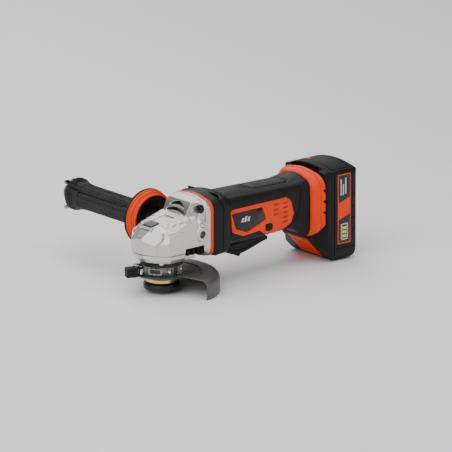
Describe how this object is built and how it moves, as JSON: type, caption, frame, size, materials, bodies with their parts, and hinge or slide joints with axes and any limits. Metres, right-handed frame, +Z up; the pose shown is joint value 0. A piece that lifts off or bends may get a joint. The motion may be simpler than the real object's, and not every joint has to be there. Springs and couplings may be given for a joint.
{
  "type": "cordless angle grinder",
  "caption": "Cordless angle grinder with bevel gear head, wheel guard, side handle, paddle switch and sliding battery pack, fitted without a disc.",
  "frame": {"origin": "spindle axis at the inner flange's wheel face", "axes": "+X back along the barrel to the battery, +Y out along the side handle, +Z up the spindle"},
  "size_m": [0.3116, 0.2789, 0.1116],
  "materials": {
    "cast_aluminium": "bare sand-cast aluminium, satin",
    "steel": "ground steel",
    "black_steel": "blackened steel",
    "guard_coat": "satin black coat over pressed steel",
    "zinc": "bright zinc plate",
    "brass": "turned, yellow passivated",
    "orange_plastic": "moulded, fine texture",
    "black_plastic": "glass-filled nylon, fine texture",
    "black_rubber": "soft overmould",
    "gloss_black": "glossy badge plate",
    "grey_plastic": "dark grey moulded button",
    "copper": "enamelled copper wire",
    "cell_wrap": "shrink sleeve"
  },
  "bodies": {
    "tool": {"gear_housing": "cast_aluminium", "bearing_cover": "cast_aluminium", "cover_screws": "zinc", "housing_screws": "black_steel", "baffle_plate": "black_plastic", "trim_ring": "orange_plastic", "needle_bush": "steel", "dust_seal": "black_rubber", "spindle_bearing_outer": "steel", "motor_bearing_outers": "steel", "stator_core": "steel", "stator_windings": "copper", "shell_left": "black_plastic", "shell_right": "black_plastic", "side_panel_right": "orange_plastic", "side_panel_left": "orange_plastic", "badge_plates": "gloss_black", "shell_screws": "black_steel", "rear_bumper": "orange_plastic", "battery_mount": "black_plastic", "terminal_block": "black_plastic", "terminal_blades": "brass", "controller_module": "black_plastic", "switch_body": "black_plastic", "paddle_pin": "steel", "lock_spring": "steel"},
    "spindle": {"spindle": "steel", "crown_gear": "steel", "spindle_circlip": "steel", "inner_flange": "brass", "spindle_bearing_inner": "steel"},
    "flange_nut": {"outer_flange_nut": "black_steel"},
    "rotor": {"rotor_shaft": "steel", "pinion": "steel", "pinion_nut": "steel", "fan": "black_plastic", "rotor_core": "steel", "motor_bearing_inners": "steel"},
    "lock_button": {"spindle_lock_button": "grey_plastic"},
    "paddle": {"paddle": "black_plastic", "lever_pin": "steel"},
    "lock_off_lever": {"lock_off_lever": "black_plastic"},
    "guard": {"wheel_guard": "guard_coat", "guard_band": "zinc", "guard_rivets": "zinc", "clamp_link": "zinc"},
    "clamp_lever": {"clamp_lever": "black_plastic"},
    "side_handle": {"handle_hub": "black_plastic", "handle_trim_ring": "orange_plastic", "handle_grip": "black_rubber", "handle_stud": "zinc"},
    "pin_spanner": {"spanner_head": "black_plastic", "pin_spanner": "zinc"},
    "battery": {"pack_case_front": "black_plastic", "pack_case_rear": "black_plastic", "battery_cells": "cell_wrap", "cell_holder": "grey_plastic", "pack_labels": "gloss_black"},
    "release_button": {"release_button": "orange_plastic"},
    "gauge_button": {"gauge_button": "grey_plastic"}
  },
  "joints": [
    {"name": "spindle_spin", "type": "hinge", "parent": "tool", "child": "spindle", "pos_m": [0, 0, 0.059], "axis": [0, 0, 1], "continuous": true},
    {"name": "rotor_spin", "type": "hinge", "parent": "tool", "child": "rotor", "pos_m": [0, 0, 0.059], "axis": [1, 0, 0], "continuous": true},
    {"name": "flange_nut_removal", "type": "slide", "parent": "spindle", "child": "flange_nut", "axis": [0, 0, -1], "range_m": [0, 0.02]},
    {"name": "spindle_lock_press", "type": "slide", "parent": "tool", "child": "lock_button", "axis": [0, 0, -1], "range_m": [0, 0.004], "stiffness_N_per_m": 1200, "springref_m": -0.004, "deforming": ["lock_spring"]},
    {"name": "paddle_squeeze", "type": "hinge", "parent": "tool", "child": "paddle", "pos_m": [0.144, 0, 0.0275], "axis": [0, 1, 0], "range_deg": [0, 4], "stiffness_Nm_per_rad": 2, "springref_deg": -8.59},
    {"name": "lock_off_swing", "type": "hinge", "parent": "paddle", "child": "lock_off_lever", "pos_m": [0.1095, 0, 0.0206], "axis": [0, 1, 0], "range_deg": [0, 25], "stiffness_Nm_per_rad": 0.05, "springref_deg": -17.19},
    {"name": "guard_turn", "type": "hinge", "parent": "tool", "child": "guard", "pos_m": [0, 0, 0.015], "axis": [0, 0, 1], "range_deg": [-90, 90]},
    {"name": "clamp_lever_swing", "type": "hinge", "parent": "guard", "child": "clamp_lever", "pos_m": [-0.03043, 0.00001, 0.0158], "axis": [0, 0, 1], "range_deg": [0, 75]},
    {"name": "side_handle_removal", "type": "slide", "parent": "tool", "child": "side_handle", "axis": [0, 1, 0], "range_m": [0, 0.03]},
    {"name": "spanner_pull", "type": "slide", "parent": "side_handle", "child": "pin_spanner", "axis": [0, 1, 0], "range_m": [0, 0.09]},
    {"name": "battery_slide", "type": "slide", "parent": "tool", "child": "battery", "axis": [0, 0, -1], "range_m": [0, 0.12]},
    {"name": "release_button_press", "type": "slide", "parent": "battery", "child": "release_button", "axis": [0.7219, 0, 0.692], "range_m": [0, 0.0025], "stiffness_N_per_m": 1500, "springref_m": -0.003},
    {"name": "gauge_button_press", "type": "slide", "parent": "battery", "child": "gauge_button", "axis": [0, 0, -1], "range_m": [0, 0.0008], "stiffness_N_per_m": 1500, "springref_m": -0.002}
  ],
  "couplings": [
    {"joint": "rotor_spin", "follows": "spindle_spin", "ratio": 3}
  ]
}
